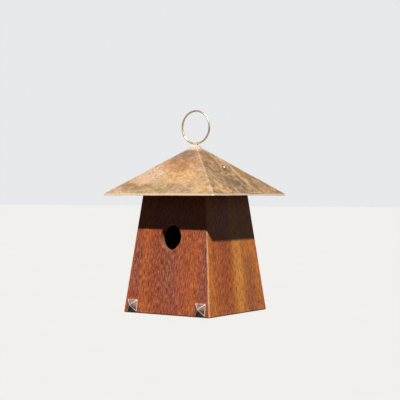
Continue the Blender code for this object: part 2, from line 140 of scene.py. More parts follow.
def modify(piece, name, kind, **settings):
    """Adds a modifier to a piece."""
    set_up(piece.modifiers.new(name, kind), settings)


print("object tools ready")

# %% Camera
VIEW_AZIMUTH = math.radians(34.9)
VIEW_DISTANCE = 1.746
VIEW_HEIGHT = 0.1812
LENS = 101.1
LENS_SHIFT = (0.0106, -0.0146)


def add_camera():
    """The camera, level and turned towards the axis of the house."""
    data = bpy.data.cameras.new("camera")
    data.lens = LENS
    data.shift_x, data.shift_y = LENS_SHIFT
    camera = linked("camera", data)
    back = Vector((math.sin(VIEW_AZIMUTH), -math.cos(VIEW_AZIMUTH), 0))
    camera.location = back * VIEW_DISTANCE + UP * VIEW_HEIGHT
    camera.rotation_euler = (math.pi / 2, 0, VIEW_AZIMUTH)
    bpy.context.scene.camera = camera
    return camera


print("camera at", [round(value, 3) for value in add_camera().location])

# %% [markdown]
# ## Shader maths as Python
#
# A material is a graph of nodes, and a long graph is hard to read as a list of links. So one small
# class wraps a node's output, and Python's own operators add the Math nodes. A second class holds
# the graph, and its one method makes any other kind of node.


# %% Signals that Python can calculate with
def operator(operation, swapped=False):
    """A method that calculates with a signal and another value."""

    def method(self, other=0.0):
        values = (other, self) if swapped else (self, other)
        inputs = dict(enumerate(values))
        return self.graph.node("ShaderNodeMath", {"operation": operation}, inputs)

    return method


class Signal:
    """The output of a shader node, which Python's operators can calculate with."""

    def __init__(self, graph, socket):
        self.graph = graph
        self.socket = socket

    __add__ = __radd__ = operator("ADD")
    __mul__ = __rmul__ = operator("MULTIPLY")
    __sub__ = operator("SUBTRACT")
    __rsub__ = operator("SUBTRACT", swapped=True)
    __truediv__ = operator("DIVIDE")
    __abs__ = operator("ABSOLUTE")
    or_more = operator("MAXIMUM")
    or_less = operator("MINIMUM")


# %% A graph of nodes, and a material on one
class Graph:
    """A node tree whose nodes all come from one method."""

    def __init__(self, tree):
        self.tree = tree

    def feed(self, socket, value):
        """Gives a socket a link, a colour or a number."""
        if isinstance(value, Signal):
            self.tree.links.new(value.socket, socket)
        elif socket.type == "RGBA":
            socket.default_value = (*value, 1)
        else:
            socket.default_value = value

    def node(self, kind, settings=None, inputs=None, output=0):
        """Makes a node from its settings and its sockets' values, and gives one output."""
        made = set_up(self.tree.nodes.new(kind), settings or {})
        for key, value in (inputs or {}).items():
            self.feed(made.inputs[key], value)
        return Signal(self, made.outputs[output])

    def mix(self, factor, first, second, blend="MIX"):
        """Mixes two colours."""
        settings = {"data_type": "RGBA", "blend_type": blend}
        return self.node("ShaderNodeMix", settings, {0: factor, 6: first, 7: second}, 2)

    def laid(self, colour, layers, blend="MIX"):
        """A colour with tints laid over it, each to its own strength from 0 to 1."""
        for strength, tint in layers:
            colour = self.mix(strength, colour, tint, blend)
        return colour

    def step(self, value, start, end):
        """Goes smoothly from 0 to 1 as a value goes from a start to an end."""
        inputs = {"Value": value, "From Min": start, "From Max": end}
        return self.node("ShaderNodeMapRange", {"interpolation_type": "SMOOTHSTEP"}, inputs)

    def noise(self, place, pace, detail=3.0, rough=0.55, twist=0.0, start=0.0):
        """Noise at a place, with so many lumps to the metre along each axis."""
        spread = {"Vector": place, "Scale": pace, "Location": (start, start, start)}
        moved = self.node("ShaderNodeMapping", {}, spread)
        inputs = {"Vector": moved, "Scale": 1.0, "Detail": detail}
        inputs |= {"Roughness": rough, "Distortion": twist}
        return self.node("ShaderNodeTexNoise", {}, inputs)


class Finish(Graph):
    """A material on the Principled shader."""

    def __init__(self, name, **constants):
        self.material = bpy.data.materials.new(name)
        self.material.use_nodes = True
        super().__init__(self.material.node_tree)
        self.shader = self.tree.nodes["Principled BSDF"]
        for key, value in constants.items():
            self.show(key.replace("_", " "), value)
        self.place = self.node("ShaderNodeTexCoord", output="Object")
        parts = self.node("ShaderNodeSeparateXYZ", {}, {0: self.place}).socket.node.outputs
        self.x, self.y, self.z = [Signal(self, part) for part in parts]

    def show(self, name, value):
        """Feeds one of the shader's sockets."""
        self.feed(self.shader.inputs[name], value)

    def cloud(self, pace, detail=3.0, rough=0.55, twist=0.0, start=0.0):
        """Noise over the piece, with the same pace along all three axes."""
        return self.noise(self.place, (pace,) * 3, detail, rough, twist, start)

    def raise_by(self, height, depth, strength=1.0):
        """Bumps the surface by a height from 0 to 1, so many metres deep."""
        inputs = {"Strength": strength, "Distance": depth, "Height": height}
        self.show("Normal", self.node("ShaderNodeBump", {}, inputs))


print("shader tools ready")

# %% Backdrop and floor
BACKDROP = (0.80, 0.81, 0.82)
GLOW = (0.42, 0.42, 0.42)  # what glossy surfaces mirror
FILL = (0.012, 0.016, 0.019)
FLOOR_DROP = 0.60  # from the house's bottom edge down to the studio floor
FLOOR_SPAN = 120.0
FLOOR_PACE = 1.5
FLOOR_GREYS = [(0.45, 0.45, 0.45), (0.47, 0.47, 0.47)]
FLOOR_GLOW = 0.30


def light_world():
    """A pale backdrop whose light on the house is much dimmer than it looks."""
    world = bpy.data.worlds.new("studio")
    world.use_nodes = True
    bpy.context.scene.world = world
    graph = Graph(world.node_tree)
    paths = graph.node("ShaderNodeLightPath").socket.node.outputs
    glossy = Signal(graph, paths["Is Glossy Ray"])
    diffuse = Signal(graph, paths["Is Diffuse Ray"])
    shine = graph.mix(diffuse, graph.mix(glossy, BACKDROP, GLOW), FILL)
    graph.feed(world.node_tree.nodes["Background"].inputs["Color"], shine)


def add_floor():
    """The studio floor, which isn't part of the object."""
    glow = {"Emission_Color": (1.0, 1.0, 1.0), "Emission_Strength": FLOOR_GLOW}
    finish = Finish("studio_floor", Roughness=1.0, Specular_IOR_Level=0.0, **glow)
    finish.show("Base Color", finish.mix(finish.cloud(FLOOR_PACE), *FLOOR_GREYS))
    bm = bmesh.new()
    bmesh.ops.create_grid(bm, x_segments=2, y_segments=2, size=FLOOR_SPAN / 2)
    bmesh.ops.translate(bm, verts=bm.verts, vec=UP * -FLOOR_DROP)
    floor = as_object(bm, "studio_floor")
    floor.data.materials.append(finish.material)
    floor.visible_diffuse = False
    floor.visible_glossy = False


light_world()
add_floor()
bpy.context.scene.view_settings.view_transform = "Standard"
print(f"floor {FLOOR_DROP} below the house")

# %% Lights
SUN_DISTANCE = 2
SUNS = {  # name: direction, power, width of the disc and colour
    "key": (Vector((0.508, -0.714, 1.0)), 4.7, math.radians(1.6), (1.0, 0.965, 0.90)),
    "back": (Vector((-0.60, 0.76, 0.30)), 1.5, math.radians(30), (1.0, 1.0, 1.0)),
}
SOFT_BOXES = {  # name: place, size and power
    "side_fill": (Vector((1.5, -0.35, 0.35)), 1.3, 0.12),
    "low_fill": (Vector((0.0, 0.0, -0.55)), 0.8, 0.45),
}


def add_light(name, kind, place, **settings):
    """A light at a place, aimed at the middle of the house."""
    light = linked(name, set_up(bpy.data.lights.new(name, kind), settings))
    light.location = place
    light.rotation_mode = "QUATERNION"
    light.rotation_quaternion = (place - UP * VIEW_HEIGHT).to_track_quat("Z", "Y")
    light.visible_camera = False
    light.visible_glossy = name == "key"


for name, (direction, power, disc, colour) in SUNS.items():
    place = UP * VIEW_HEIGHT + direction * SUN_DISTANCE
    add_light(name, "SUN", place, energy=power, angle=disc, color=colour)
for name, (place, size, power) in SOFT_BOXES.items():
    add_light(name, "AREA", place, energy=power, size=size)
print(len(SUNS), "suns and", len(SOFT_BOXES), "soft boxes lit")

# %% [markdown]
# ## Mesh tools
#
# Most pieces here are a block cut by planes, a profile turned about a line, or an outline given a
# thickness, and each has one short function. A Boolean modifier is the simplest way to bore a hole
# through a leaning board, so one function runs it on two passing objects and keeps only the
# resulting mesh.

# %% Directions and planes
BLOCK = 0.6  # edge of the cube that each board is cut from


def facing(place, direction):
    """A frame at a place, with +Z along a direction and +Y as near up as it can be."""
    return Matrix.Translation(place) @ direction.to_track_quat("Z", "Y").to_matrix().to_4x4()


def along_side(side):
    """The level direction along a side, anticlockwise as seen from above."""
    return UP.cross(SIDES[side])


def wall_plane(side, depth=0.0):
    """A point and the outward normal of a wall's face, or of the plane at a depth in it."""
    normal = (SIDES[side] + UP * BATTER).normalized()
    return SIDES[side] * BASE_HALF - normal * depth, normal


def roof_plane(side, depth=0.0):
    """A point and the outward normal of a slope, or of the plane at a depth below it."""
    normal = (SIDES[side] * slope + UP).normalized()
    return UP * apex - normal * depth, normal


def bevel_plane(corner, first, second):
    """The plane that takes the arris off the edge where two planes meet at a corner."""
    normal = (first[1] + second[1]).normalized()
    return corner - normal * ARRIS / math.sqrt(2), normal


def wall_point(side, along, height):
    """A point on a wall's outer face."""
    return SIDES[side] * outer_half(height) + along_side(side) * along + UP * height


def slope_point(side, along, reach, lift=0.0):
    """A point over a slope, at a distance from the axis, lifted off the sheet."""
    foot = SIDES[side] * reach + along_side(side) * along + UP * (apex - slope * reach)
    return foot + roof_plane(side)[1] * lift


print("front wall leans", round(math.degrees(math.atan(BATTER)), 1), "degrees")

# %% Shapes
QUARTER = math.pi / 2


def cut_off(bm, point, normal):
    """Takes off what lies outside a plane, and closes the cut."""
    whole = bm.verts[:] + bm.edges[:] + bm.faces[:]
    cut = bmesh.ops.bisect_plane(bm, geom=whole, plane_co=point, plane_no=normal, clear_outer=True)
    rim = [part for part in cut["geom_cut"] if isinstance(part, bmesh.types.BMEdge)]
    bmesh.ops.holes_fill(bm, edges=rim)


def cut_block(planes):
    """What is left of a block after a cut along each plane."""
    bm = bmesh.new()
    bmesh.ops.create_cube(bm, size=BLOCK)
    for point, normal in planes:
        cut_off(bm, point, normal)
    return bm


def spin_round(bm, parts, steps):
    """Spins parts of a mesh a whole turn about Z."""
    turn = {"cent": (0, 0, 0), "axis": UP, "angle": math.tau, "steps": steps}
    bmesh.ops.spin(bm, geom=parts, use_merge=True, **turn)
    bmesh.ops.remove_doubles(bm, verts=bm.verts, dist=1e-6)
    bmesh.ops.recalc_face_normals(bm, faces=bm.faces)


def turned(profile, steps):
    """A shape turned about Z, from (radius, height) points."""
    bm = bmesh.new()
    points = [bm.verts.new((radius, 0, height)) for radius, height in profile]
    edges = [bm.edges.new(pair) for pair in zip(points, points[1:])]
    spin_round(bm, points + edges, steps)
    return bm


def rod(radius, top, bottom, steps):
    """A round rod about Z between two heights."""
    return turned([(0, top), (radius, top), (radius, bottom), (0, bottom)], steps)


def squared(profile):
    """A four-sided shape about Z, from (half width, height) points."""
    bm = turned([(half * math.sqrt(2), height) for half, height in profile], 4)
    bmesh.ops.rotate(bm, verts=bm.verts, matrix=Matrix.Rotation(math.pi / 4, 3, "Z"))
    return bm


def arc(centre, radius, start, end, steps):
    """Points along an arc, between two angles in radians."""
    turn = (end - start) / steps
    angles = [start + turn * number for number in range(steps + 1)]
    return [(centre[0] + radius * math.cos(a), centre[1] + radius * math.sin(a)) for a in angles]


def extruded(outline, depth):
    """A solid of an (x, y) outline, half its depth to each side of the XY plane."""
    bm = bmesh.new()
    face = bm.faces.new([bm.verts.new((x, y, -depth / 2)) for x, y in outline])
    grown = bmesh.ops.extrude_face_region(bm, geom=[face])
    moved = [part for part in grown["geom"] if isinstance(part, bmesh.types.BMVert)]
    bmesh.ops.translate(bm, verts=moved, vec=UP * depth)
    bmesh.ops.recalc_face_normals(bm, faces=bm.faces)
    return bm


def box(size, place=Matrix()):
    """A box about a place."""
    bm = bmesh.new()
    bmesh.ops.create_cube(bm, size=1, matrix=place @ Matrix.Diagonal((*size, 1)))
    return bm


def placed(bm, place):
    """A shape moved to a place."""
    bmesh.ops.transform(bm, matrix=place, verts=bm.verts)
    return bm


def ease(bm, width, segments=2, sharper_than=60):
    """Rounds the edges of a shape that are sharper than an angle, and gives the new faces."""
    limit = math.radians(sharper_than)
    edges = [edge for edge in bm.edges if edge.calc_face_angle(0) > limit]
    made = bmesh.ops.bevel(
        bm,
        geom=edges,
        offset=width,
        offset_type="OFFSET",
        segments=segments,
        profile=0.5,
        affect="EDGES",
        material=-1,
    )
    return made["faces"]


print("shapes ready")


# %% Joining, cutting and adding pieces
def joined(shapes):
    """One mesh of several separate shapes."""
    bm = bmesh.new()
    for shape in shapes:
        mesh = bpy.data.meshes.new("shape")
        shape.to_mesh(mesh)
        shape.free()
        bm.from_mesh(mesh)
        bpy.data.meshes.remove(mesh)
    return bm


def worked(stock, tool):
    """What a Boolean with a tool leaves of a shape."""
    passing = [as_object(stock, "stock"), as_object(tool, "tool")]
    modify(passing[0], "boolean", "BOOLEAN", operation="DIFFERENCE", object=passing[1])
    bm = bmesh.new()
    bm.from_object(passing[0], bpy.context.evaluated_depsgraph_get())
    for made in passing:
        bpy.data.meshes.remove(made.data)
    bmesh.ops.remove_doubles(bm, verts=bm.verts, dist=1e-7)
    return bm


def add_piece(name, bm, finishes, body, replaces=()):
    """Adds a finished piece, which rides on a body in place of its solids."""
    piece = as_object(bm, name)
    for finish in finishes:
        piece.data.materials.append(finish.material)
    piece.data.shade_smooth()
    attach(piece, body)
    if replaces:
        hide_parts(*replaces)
    print(f"{name}: {len(piece.data.polygons)} faces")
    return piece


def sharpen(piece, degrees=40):
    """Shades the edges sharper than an angle as sharp."""
    piece.data.set_sharp_from_angle(angle=math.radians(degrees))


def keep_flat(piece):
    """Keeps broad faces flat next to their rounded edges."""
    modify(piece, "flat_faces", "WEIGHTED_NORMAL", keep_sharp=True)
    sharpen(piece)


def ruffle(piece, name, span, strength, middle, direction="NORMAL"):
    """Moves a piece's skin by a cloud with lumps of a span."""
    cloud = bpy.data.textures.new(name, "CLOUDS")
    cloud.noise_scale = span
    shift = {"strength": strength, "mid_level": middle, "direction": direction}
    modify(piece, name, "DISPLACE", texture=cloud, texture_coords="LOCAL", **shift)


# %% [markdown]
# ## Mahogany
#
# The boards are oiled mahogany, with straight grain along their height, broad streaks from salmon
# to mauve, fine dark pores, and paler corners, partly worn and partly a painted highlight. A
# picture of wood could be wrapped round each, but a pattern worked out from the place in the board
# also reaches the hole's wall and the ends, and never repeats. It needs the board's own directions:
# along the wall, down into it, and up. From the depth it knows where the oil ends and the raw
# inside begins.

# %% Wood colours and streaks
SALMON = (0.43, 0.096, 0.045)
CHERRY = (0.34, 0.060, 0.030)
ORANGE = (0.60, 0.150, 0.037)
MAUVE = (0.300, 0.085, 0.072)
# golden streak colour, partly grain and partly painted sheen
GOLD_AND_SHEEN = (1.0, 0.43, 0.085)
RUSSET = (0.50, 0.100, 0.030)
AMBER = (0.86, 0.275, 0.045)
UMBER = (0.42, 0.130, 0.052)
# pale corner colour: worn wood with a painted highlight on the arris
PEACH_WEAR_AND_HIGHLIGHT = (0.95, 0.56, 0.38)
RAW = (0.27, 0.145, 0.080)
PORE = (0.055, 0.018, 0.010)

# Each streak is its middle along the wall, its half width, its lowest and highest point, all in
# millimetres, its colour and its strength.
FRONT_STREAKS = [
    (-45, 8, -50, 200, ORANGE, 0.75),
    (-59, 6, -50, 110, MAUVE, 0.75),
    (-26, 7, 20, 200, CHERRY, 0.5),
    (4, 17, 5, 100, MAUVE, 0.7),
    (28, 8, 30, 200, SALMON, 0.7),
    (43, 7, -50, 110, ORANGE, 0.65),
    (67, 7, -50, 160, MAUVE, 0.9),
    (8, 25, -50, 18, CHERRY, 0.6),
]
RIGHT_STREAKS = [
    (-66, 14, -50, 200, AMBER, 0.9),
    (-30, 20, -50, 200, RUSSET, 0.9),
    # the golden streak: grain with painted sheen laid on it
    (9, 12, -50, 200, GOLD_AND_SHEEN, 0.95),
    (26, 6, -50, 200, UMBER, 0.5),
    (43, 14, -50, 85, UMBER, 0.85),
    (43, 12, 70, 200, AMBER, 0.7),
    (66, 8, -50, 200, AMBER, 0.6),
]
BACK_STREAKS = [
    (-50, 16, -50, 200, ORANGE, 0.7),
    (-18, 10, -50, 200, MAUVE, 0.6),
    (12, 15, -50, 200, CHERRY, 0.5),
    (50, 12, -50, 200, AMBER, 0.7),
]
LEFT_STREAKS = [
    (-56, 10, -50, 200, CHERRY, 0.6),
    (-20, 18, -50, 200, AMBER, 0.6),
    (18, 12, -50, 200, MAUVE, 0.6),
    (54, 16, -50, 200, ORANGE, 0.7),
]


# %% The mahogany shader
OILED_DEPTH = 0.0012  # how far the oiled colour reaches round the edges of a board
WORN_AND_HIGHLIT_EDGE = 0.0020  # from a corner to where its pale edge of wear and painted highlight ends
STREAK_FADE = 0.02  # half the length over which a streak's end fades


def grow_wood(finish, board, streaks, dark, light):
    """The colour of clean wood, and how open its pores are, at a place in the board."""
    grain = finish.node("ShaderNodeCombineXYZ", {}, dict(enumerate(board)))
    broad = finish.noise(grain, (60, 60, 2.5), 4, 0.6, 0.4)
    sway = finish.noise(grain, (25, 25, 7), 2, 0.5, 0, 3) - 0.5
    colour = finish.mix(finish.step(broad, 0.35, 0.65), dark, light)
    for number, (*spread, tint, strength) in enumerate(streaks):
        middle, half, low, high = [size / 1000 for size in spread]
        distance = abs(board[0] + sway * 0.010 - middle)
        ragged = finish.noise(grain, (190, 190, 6), 4, 0.75, 0, number * 7.0) - 0.5
        across = finish.step(distance + ragged * half * 3.2, half * 1.9, half * 0.1)
        height = board[2] + sway * 0.05
        above = finish.step(height, low - STREAK_FADE, low + STREAK_FADE)
        below = finish.step(height, high + STREAK_FADE, high - STREAK_FADE)
        colour = finish.mix(across * (above * below) * strength * 0.85, colour, tint)
    return colour, grain


def add_figure(finish, colour, grain):
    """Adds the ribbon figure, the fibres and the pores to a board's colour."""
    ribbon = finish.noise(grain, (34, 34, 13), 3, 0.6, 1.2, 9)
    fibre = finish.noise(grain, (620, 620, 14), 3, 0.7, 0, 5)
    mottle = finish.noise(grain, (430, 430, 120), 4, 0.75, 0.3, 2)
    pore = finish.noise(grain, (1150, 1150, 120), 2, 0.55, 0, 1)
    open_pore = finish.step(pore, 0.54, 0.68)
    speck = finish.step(mottle, 0.48, 0.62)
    shades = [
        (finish.step(ribbon, 0.35, 0.65) * 0.42, (0.58, 0.52, 0.54)),
        (finish.step(fibre, 0.35, 0.75) * 0.30, (0.50, 0.42, 0.40)),
        (speck * 0.76, (0.37, 0.27, 0.24)),
    ]
    tints = [
        (finish.step(mottle, 0.47, 0.32) * 0.36, (1.0, 0.42, 0.17)),
        (finish.step(pore, 0.47, 0.36) * 0.30, (1.0, 0.50, 0.22)),
        (open_pore * 0.72, PORE),
    ]
    colour = finish.laid(finish.laid(colour, shades, "MULTIPLY"), tints)
    return colour, open_pore, fibre, speck


def wall_wood(side, streaks, dark, light):
    """Mahogany for a wall board, with its streaks where that board has them."""
    finish = Finish(f"{side}_mahogany", Specular_IOR_Level=0.22)
    outward = SIDES[side]
    run = along_side(side)
    reach = finish.y * outward.y if outward.y else finish.x * outward.x
    along = finish.x * run.x if run.x else finish.y * run.y
    half = BASE_HALF - finish.z * BATTER
    depth = half - reach
    colour, grain = grow_wood(finish, (along, depth, finish.z), streaks, dark, light)
    colour, open_pore, fibre, speck = add_figure(finish, colour, grain)

    # Paler wood at the corners and the bottom edge: partly wear, partly a painted highlight on the
    # arris.
    ragged = (finish.noise(grain, (260, 260, 60), 3, 0.6, 0, 4) - 0.5) * 0.0022
    corner = half - abs(along)
    edge = corner.or_less(finish.z * 1.25) + ragged
    worn_and_highlit = finish.step(edge, WORN_AND_HIGHLIT_EDGE, WORN_AND_HIGHLIT_EDGE * 0.45) * finish.step(depth, 0.0045, 0.003)
    colour = finish.mix(worn_and_highlit * 0.62, colour, PEACH_WEAR_AND_HIGHLIGHT)
    raw = finish.step(depth, OILED_DEPTH, OILED_DEPTH * 2) * (1 - worn_and_highlit)
    dull = finish.mix(finish.step(fibre, 0.3, 0.8), RAW, (0.28, 0.15, 0.08))
    colour = finish.mix(raw * 0.85, colour, dull)
    finish.show("Base Color", colour)
    finish.show("Roughness", 0.40 + speck * 0.15 + raw * 0.25 - worn_and_highlit * 0.05)
    finish.raise_by(fibre * 0.4 - open_pore, 0.00022, 0.25)
    return finish


WALL_WOOD = {
    "front": wall_wood("front", FRONT_STREAKS, SALMON, (0.50, 0.108, 0.043)),
    "right": wall_wood("right", RIGHT_STREAKS, RUSSET, AMBER),
    "back": wall_wood("back", BACK_STREAKS, SALMON, RUSSET),
    "left": wall_wood("left", LEFT_STREAKS, SALMON, RUSSET),
}
print("mahogany for", ", ".join(WALL_WOOD))

# %% [markdown]
# ## Wall boards
#
# The four walls lean inwards and meet in mitres, with a small flat bevel on every outside corner.
# They could be modelled as one tapered box, but real boards leave a hairline at each corner, so
# each is cut from a block by planes, as a saw would cut it, and has its edges eased a little. The
# front also has the round entrance with its rim rounded over, saw cuts inside as a ladder for the
# young birds, and the slot that the turn button locks into. Small sunk holes take the brads that
# pin the corners and the nails that the floor swings on.

# %% Places of the fasteners
BRAD_HEIGHTS = (0.040, 0.105, 0.170)
FILLER_RADIUS = 0.0013
FILLER_DEPTH = 0.0007
PIVOT_HEIGHT = (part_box("floor_panel")[0].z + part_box("floor_panel")[1].z) / 2
PIVOT_SINK = (0.0024, 0.0018)  # radius and depth of the hole for the pivot nail's head


def brad_places(face):
    """Each brad's solid and the frame on the wall over its head."""
    places = {}
    for side in ("left", "right"):
        turn = along_side(face).dot(SIDES[side])
        for number, height in enumerate(BRAD_HEIGHTS, 1):
            across = turn * (outer_half(height) - WALL * LEAN / 2)
            place = facing(wall_point(face, across, height), wall_plane(face)[1])
            places[f"{face}_brad_{side}_{number}"] = place
    return places


hinge_y = (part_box("pivot_nail_left")[0].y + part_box("pivot_nail_left")[1].y) / 2
print(f"hinge line at y {hinge_y:.4f}, z {PIVOT_HEIGHT:.4f}")

# %% Wall boards
EASED = 0.0004
ENTRANCE_RADIUS = 0.01905
ENTRANCE_HEIGHT = 0.1165
RIM = 0.0011  # radius that rounds the entrance over
LEAD = 0.002  # how far a cutter starts outside the piece
SETTLED = 0.0012  # room left under the roof, which dips a little between its folds
GROOVES = 5
GROOVE_PITCH = 0.011
GROOVE_SIZE = (0.060, 0.002, 0.003)
SLOT_WIDTH = 0.0300
SLOT_PLAY = 0.0006


def wall_board(side):
    """A wall board with mitred ends and eased edges."""
    ground = (Vector(), -UP)
    outer = wall_plane(side)
    inner_point, inward = wall_plane(side, WALL)
    foot = SIDES[side] * BASE_HALF
    planes = [outer, (inner_point, -inward), ground, bevel_plane(foot, outer, ground)]
    for neighbour in ("left", "right") if side in ("front", "back") else ("front", "back"):
        mitre = (SIDES[neighbour] - SIDES[side]).normalized()
        corner = foot + SIDES[neighbour] * BASE_HALF
        planes += [(mitre * -JOINT, mitre), bevel_plane(corner, outer, wall_plane(neighbour))]
    planes += [roof_plane(other, SHEET + SETTLED) for other in SIDES]
    bm = cut_block(planes)
    ease(bm, EASED, 2, 30)
    return bm


def entrance_cutter():
    """The entrance bore, which flares at both faces to round the rim over."""
    flare = ENTRANCE_RADIUS + RIM
    outside = arc((flare, -RIM), RIM, QUARTER, 2 * QUARTER, 6)
    inside = arc((flare, RIM - WALL), RIM, 2 * QUARTER, 3 * QUARTER, 6)
    profile = [(0, LEAD), (flare, LEAD)] + outside + inside + [(flare, -WALL - LEAD)]
    place = facing(wall_point("front", 0, ENTRANCE_HEIGHT), wall_plane("front")[1])
    return placed(turned(profile + [(0, -WALL - LEAD)], 96), place)


def groove_cutters():
    """Saw cuts across the inside of the front, below the entrance."""
    outward = wall_plane("front")[1]
    top = ENTRANCE_HEIGHT - ENTRANCE_RADIUS
    cutters = []
    for number in range(1, GROOVES + 1):
        foot = wall_point("front", 0, top - GROOVE_PITCH * number) - outward * WALL
        cutters.append(box(GROOVE_SIZE, facing(foot, outward)))
    return cutters


def slot_cutter():
    """The slot inside the front that the turn button's end swings into."""
    low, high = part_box("turn_button")
    reach = (high.y - low.y) / 2 - low.x + 2 * SLOT_PLAY
    pivot = (low.y + high.y) / 2
    middle = (low.z + high.z) / 2
    size = (SLOT_WIDTH, reach, high.z - low.z + 2 * SLOT_PLAY)
    return box(size, Matrix.Translation((0, pivot - reach / 2, middle)))


def filler_cutters(side):
    """The sunk holes over the brads."""
    hole = FILLER_RADIUS, LEAD, -FILLER_DEPTH, 20
    return [placed(rod(*hole), place) for place in brad_places(side).values()]


def pivot_place(side):
    """The frame on the wall over the nail that the floor swings on."""
    point = SIDES[side] * outer_half(PIVOT_HEIGHT) + Vector((0, hinge_y, PIVOT_HEIGHT))
    return facing(point, SIDES[side])


def pivot_cutter(side):
    """The sunk hole for that nail's head."""
    radius, depth = PIVOT_SINK
    return placed(rod(radius, LEAD, -depth, 24), pivot_place(side))


for side in SIDES:
    board = wall_board(side)
    cutters = filler_cutters(side) if side in ("front", "back") else [pivot_cutter(side)]
    if side == "front":
        cutters += [entrance_cutter(), slot_cutter()] + groove_cutters()
    board = worked(board, joined(cutters))
    node = f"{side}_panel"
    keep_flat(add_piece(f"{side}_board", board, [WALL_WOOD[side]], "house", [node]))

# %% [markdown]
# ## Copper roof
#
# The roof is one sheet of copper, folded along four hips, with a drip edge turned down all round
# and a lap down the right slope where the sheet's two ends meet. Flat planes would look cast, so
# the hips are soft folds and the slopes dip and swell a little, as thin sheet does. The sheet is
# modelled as its outer skin only: folds are rounded by a bevel, a smooth cloud moves the skin, and
# a Solidify modifier gives it its gauge at the end.

# %% Copper shader
TAN = (0.58, 0.370, 0.195)
ROSE = (0.73, 0.43, 0.260)
GOLDEN = (0.78, 0.48, 0.210)
OLIVE = (0.36, 0.260, 0.125)
RUST = (0.52, 0.235, 0.090)
MUD = (0.22, 0.130, 0.062)
DEEP_BROWN = (0.13, 0.075, 0.036)
PLUM = (0.32, 0.190, 0.155)
DRAB = (0.22, 0.132, 0.058)
FAWN = (0.66, 0.41, 0.185)
CREAM = (0.87, 0.74, 0.57)
PINK = (0.86, 0.58, 0.42)

# Each stain is its middle on the plan and its half size along X and Y, all in millimetres, its
# colour and its strength.
STAINS = [
    (-36, -60, 34, 20, PINK, 0.8),
    (-75, -94, 20, 8, PINK, 0.4),
    (-52, -88, 36, 8, MUD, 0.62),
    (18, -66, 36, 17, GOLDEN, 1.0),
    (14, -92, 36, 9, OLIVE, 0.72),
    (74, -90, 16, 10, GOLDEN, 0.8),
    (-2, -26, 26, 15, PLUM, 1.0),
    (4, -42, 34, 16, RUST, 0.9),
    (52, -34, 20, 16, MUD, 0.6),
    (80, -8, 13, 26, DEEP_BROWN, 0.75),
    (58, 26, 38, 6, ROSE, 0.85),
    (89, -66, 12, 14, GOLDEN, 0.9),
    (88, 54, 10, 26, ROSE, 0.45),
    # a dark ring round the right roof screw's head, partly oxide and partly painted shadow
    (54.5, 4, 6.8, 6.4, DEEP_BROWN, 0.9),
    (31, -17, 14, 12, RUST, 0.6),
    (30, 18, 14, 10, GOLDEN, 0.7),
    (59, 42, 16, 14, RUST, 0.6),
    (82, 46, 18, 20, MUD, 0.45),
    (92, 84, 10, 16, RUST, 0.8),
    (28, 84, 34, 12, OLIVE, 0.6),
    (-40, 60, 30, 20, GOLDEN, 0.7),
    (-4, 34, 20, 14, PLUM, 0.6),
    (-70, 90, 30, 10, MUD, 0.5),
    (-86, 30, 12, 30, MUD, 0.5),
    (-60, -22, 20, 28, ROSE, 0.7),
    (-88, -50, 12, 26, OLIVE, 0.5),
]


def weathered_copper():
    """The top of the sheet: brown oxide worn to salmon, golden and olive, with painted highlights.
    """
    finish = Finish("weathered_copper", Metallic=0.30, Specular_IOR_Level=0.25)
    warp = finish.cloud(38, 4, 0.6, 0.6) - 0.5
    warp_y = finish.cloud(38, 4, 0.6, 0.6, 11) - 0.5
    cloud = finish.cloud(22, 5, 0.62, 0.8, 4)
    colour = finish.mix(finish.step(cloud, 0.32, 0.68), TAN, ROSE)
    east = finish.step(finish.x - abs(finish.y) + warp * 0.007, -0.0020, 0.0020)
    drift = finish.cloud(62, 4, 0.7, 0.9, 21)
    brushed = finish.mix(finish.step(drift, 0.41, 0.60), DRAB, FAWN)
    colour = finish.mix(east * 0.82, colour, brushed)
    for *spread, tint, strength in STAINS:
        x, y, wide, deep = [size / 1000 for size in spread]
        across = (finish.x + warp * 0.030 - x) / wide
        over = (finish.y + warp_y * 0.030 - y) / deep
        away = across * across + over * over
        colour = finish.mix(finish.step(away, 1.6, 0.15) * strength, colour, tint)
    reach = abs(finish.x).or_more(abs(finish.y))
    blotch = finish.cloud(95, 5, 0.68, 0.5, 7)
    dash = finish.noise(finish.place, (260, 520, 260), 3, 0.6, 1.0, 2)
    speckle = finish.cloud(330, 4, 0.7, 0.4, 13)
    grit = finish.cloud(620, 3, 0.7, 0, 6)
    # Painted highlights: a pale tip, partly flux and partly highlight; a pale drip edge; pale lines
    # along the hips.
    tip = finish.step(reach + warp * 0.006, 0.014, 0.007)
    rim = finish.step(reach + warp * 0.0010, roof_half - 0.0012, roof_half - 0.0004)
    from_hip = abs(abs(finish.x) - abs(finish.y)) + (speckle - 0.5) * 0.003
    hip_highlight = finish.step(from_hip, 0.0022, 0.0006)
    layers = [
        (finish.step(blotch, 0.50, 0.63) * (0.56 + east * 0.16), MUD),
        (finish.step(blotch, 0.48, 0.34) * 0.58, PINK),
        (finish.step(dash, 0.60, 0.72) * 0.40, CREAM),
        (finish.step(speckle, 0.50, 0.64) * 0.50, OLIVE),
        (finish.step(speckle, 0.45, 0.33) * 0.35, CREAM),
        (finish.step(grit, 0.50, 0.66) * 0.58, MUD),
        # painted highlights on the hips, the tip and the drip edge
        (hip_highlight * (0.10 + cloud * 0.30), CREAM),
        (tip * 0.7, CREAM),
        (rim * 0.85, CREAM),
    ]
    finish.show("Base Color", finish.laid(colour, layers))
    finish.show("Roughness", 0.44 + blotch * 0.20 + finish.step(grit, 0.4, 0.7) * 0.10 - rim * 0.08)
    finish.raise_by(blotch * 0.6 + speckle * 0.3 + grit * 0.2, 0.0004, 0.30)
    return finish


